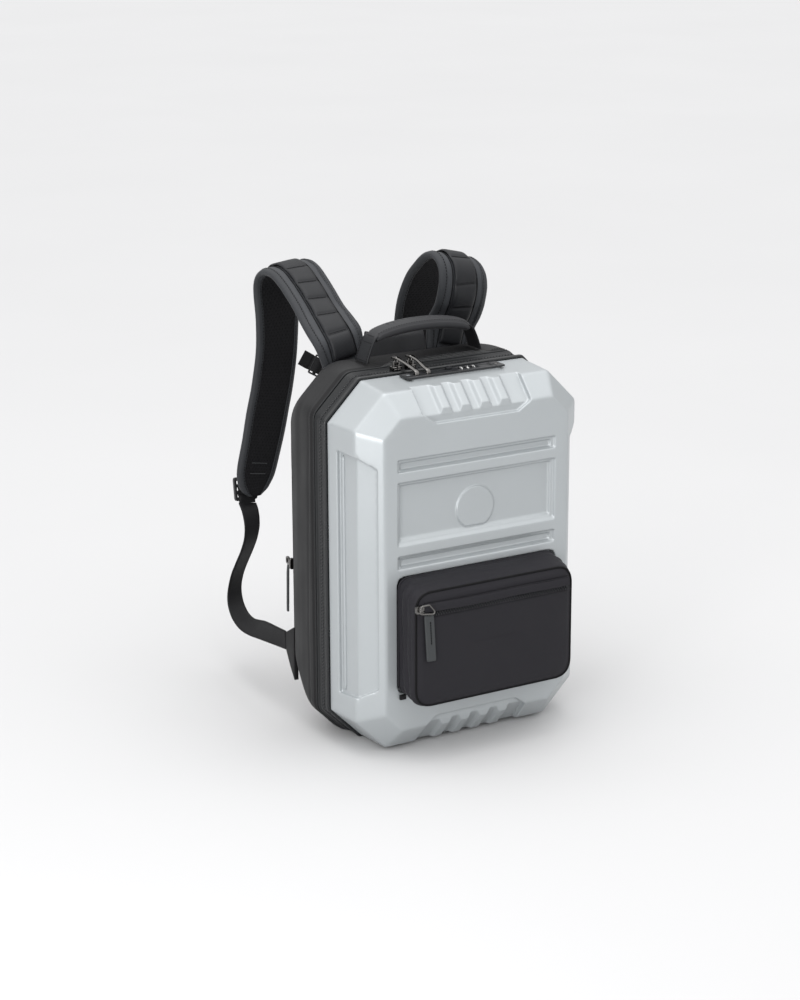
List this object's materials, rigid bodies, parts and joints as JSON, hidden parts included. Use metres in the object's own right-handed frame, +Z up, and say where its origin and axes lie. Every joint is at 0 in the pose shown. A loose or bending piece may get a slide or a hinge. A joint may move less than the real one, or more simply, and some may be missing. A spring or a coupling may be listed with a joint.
{
  "type": "hard shell backpack",
  "caption": "Backpack with a facetted hard front shell zipped to a soft rear body, a combination lock in its top, a carry handle, padded shoulder straps and a front pocket.",
  "frame": {"origin": "middle of the bounding box's bottom face, on the surface that the bag stands on", "axes": "+Z up along the bag's height, the hard shell's front faces -Y, +X to the right of someone who looks at the front"},
  "size_m": [0.3168, 0.4214, 0.5535],
  "materials": {
    "shell": "moulded shell in light cool grey, satin, with soft highlights along its edges",
    "lock": "black semi-gloss plastic",
    "dial": "black number wheel with pale digits",
    "dot": "plain grey dot",
    "gasket": "black extruded rim seal, semi-gloss on its crest",
    "zip_tape": "ribbed water-resistant zip tape with a fine coil",
    "body_fabric": "coated charcoal fabric, smooth and soft",
    "spacer_mesh": "open spacer mesh over foam",
    "handle_fabric": "padded coated fabric, faintly embossed",
    "webbing": "black woven webbing",
    "strap_fabric": "padded strap in grey coated fabric with bound, stitched edges",
    "buckle": "black moulded plastic",
    "zip_metal": "polished gunmetal plating",
    "pocket_fabric": "fine woven black fabric with piped seams",
    "pull_tab": "dark grey moulded pull with a centre stitch"
  },
  "bodies": {
    "root": {"front_shell": "shell", "lock_plate": "lock", "lock_dot": "dot", "rim_gasket": "gasket", "zip_band": "zip_tape", "soft_body": "body_fabric", "back_panel": "spacer_mesh", "handle_grip": "handle_fabric", "handle_tab_left": "webbing", "handle_tab_right": "webbing", "shoulder_strap_left": "strap_fabric", "shoulder_strap_right": "strap_fabric", "strap_webbing_left": "webbing", "strap_webbing_right": "webbing", "strap_yoke": "body_fabric", "chest_webbing_left": "webbing", "chest_webbing_middle": "webbing", "chest_webbing_right": "webbing", "chest_slider": "buckle", "chest_buckle": "buckle", "strap_adjuster_left": "buckle", "strap_adjuster_right": "buckle", "lower_webbing_left": "webbing", "lower_webbing_right": "webbing", "anchor_tab_left": "body_fabric", "anchor_tab_right": "body_fabric", "main_zip_slider_1": "zip_metal", "main_zip_puller_1": "zip_metal", "main_zip_slider_2": "zip_metal", "main_zip_puller_2": "zip_metal", "front_pocket": "pocket_fabric", "pocket_slider": "zip_metal", "pocket_puller": "zip_metal", "pocket_pull_tab": "pull_tab", "pocket_corner_tab": "webbing", "side_zip_slider": "zip_metal", "side_zip_puller": "pull_tab", "side_zip_ring": "zip_metal"},
    "dial_1": {"lock_dial_1": "dial"},
    "dial_2": {"lock_dial_2": "dial"},
    "dial_3": {"lock_dial_3": "dial"},
    "lock_release": {"lock_button": "lock"}
  },
  "joints": [
    {"name": "dial_1_turn", "type": "hinge", "parent": "root", "child": "dial_1", "pos_m": [0.0136, -0.10211, 0.4358], "axis": [1, 0, 0], "continuous": true},
    {"name": "dial_2_turn", "type": "hinge", "parent": "root", "child": "dial_2", "pos_m": [0.022, -0.10211, 0.4358], "axis": [1, 0, 0], "continuous": true},
    {"name": "dial_3_turn", "type": "hinge", "parent": "root", "child": "dial_3", "pos_m": [0.0304, -0.10211, 0.4358], "axis": [1, 0, 0], "continuous": true},
    {"name": "button_slide", "type": "slide", "parent": "root", "child": "lock_release", "axis": [-1, 0, 0], "range_m": [0, 0.004], "stiffness_N_per_m": 60}
  ]
}
